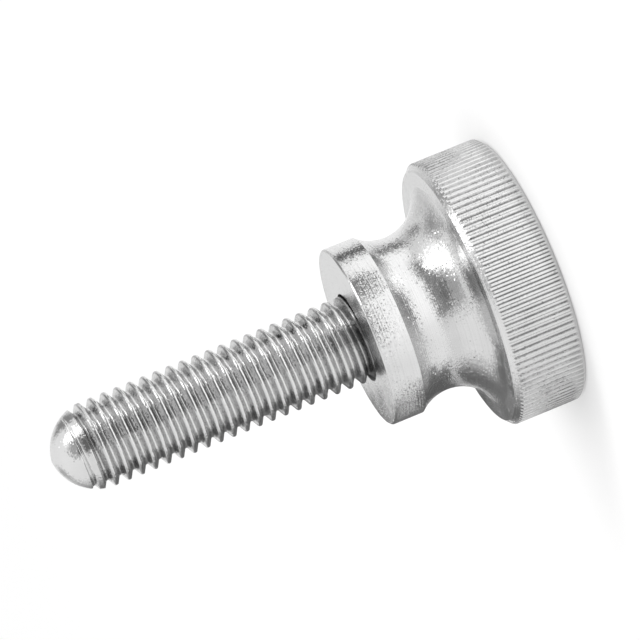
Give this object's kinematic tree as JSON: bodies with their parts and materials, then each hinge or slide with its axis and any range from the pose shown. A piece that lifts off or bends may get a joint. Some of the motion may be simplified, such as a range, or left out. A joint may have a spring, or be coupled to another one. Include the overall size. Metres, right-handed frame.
{
  "type": "knurled thumb screw",
  "caption": "Metal thumb screw with a round straight-knurled head, hollow neck, collar and a right-hand threaded stud with a rounded end.",
  "frame": {"origin": "centre of the head's flat outer face, on which the screw stands", "axes": "+Z along the screw's axis, from the head to the rounded end of the stud; X and Y across it"},
  "size_m": [0.025, 0.025, 0.0459],
  "materials": {
    "head_steel": "bright zinc-plated or stainless steel, turned, satin to glossy",
    "stud_steel": "bright rolled thread, glossy flanks and satin rounded end"
  },
  "bodies": {
    "root": {"knurled_head": "head_steel", "threaded_stud": "stud_steel"}
  },
  "joints": []
}
